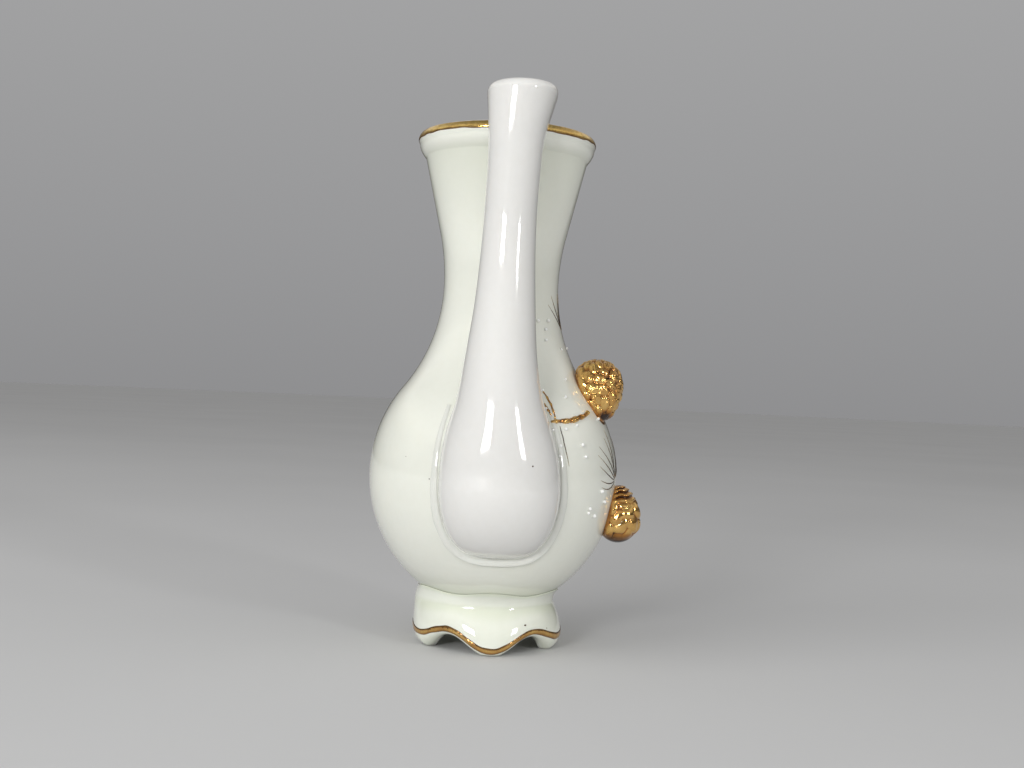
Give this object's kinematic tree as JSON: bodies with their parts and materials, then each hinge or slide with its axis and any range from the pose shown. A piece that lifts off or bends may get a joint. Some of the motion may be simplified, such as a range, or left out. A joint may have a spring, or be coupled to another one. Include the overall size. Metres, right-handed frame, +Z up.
{
  "type": "two-handled vase",
  "caption": "White porcelain vase with a round belly, flared gilt rim, tall drop-shaped handles, scalloped gilt foot and an applied pine-cone sprig.",
  "frame": {"origin": "on the vase's axis, on the plane that the foot's lobes rest on", "axes": "+Z up along the vase's axis; +X towards the face with the pine sprig; -Y towards the left handle and +Y towards the right handle"},
  "size_m": [0.1023, 0.1188, 0.2033],
  "materials": {
    "white_glaze": "very glossy clear glaze over white porcelain, faintly cream where it runs thick",
    "gold_line": "fired liquid gold, brushed on by hand, thin and brownish at its edges",
    "gold_lustre": "bright fired gold over modelled clay, dark brown in the hollows",
    "needle_paint": "dark brown overglaze paint that turns gold along its stroke",
    "white_enamel": "raised glossy white enamel"
  },
  "bodies": {
    "root": {"body_shell": "white_glaze", "foot_skirt": "white_glaze", "left_handle": "white_glaze", "right_handle": "white_glaze", "left_handle_luting": "white_glaze", "right_handle_luting": "white_glaze", "rim_gilding": "gold_line", "foot_gilding": "gold_line", "upper_pine_cone": "gold_lustre", "lower_pine_cone": "gold_lustre", "twig": "gold_lustre", "side_twigs": "gold_lustre", "upper_needles": "needle_paint", "middle_needles": "needle_paint", "lower_needles": "needle_paint", "enamel_beads": "white_enamel"}
  },
  "joints": []
}
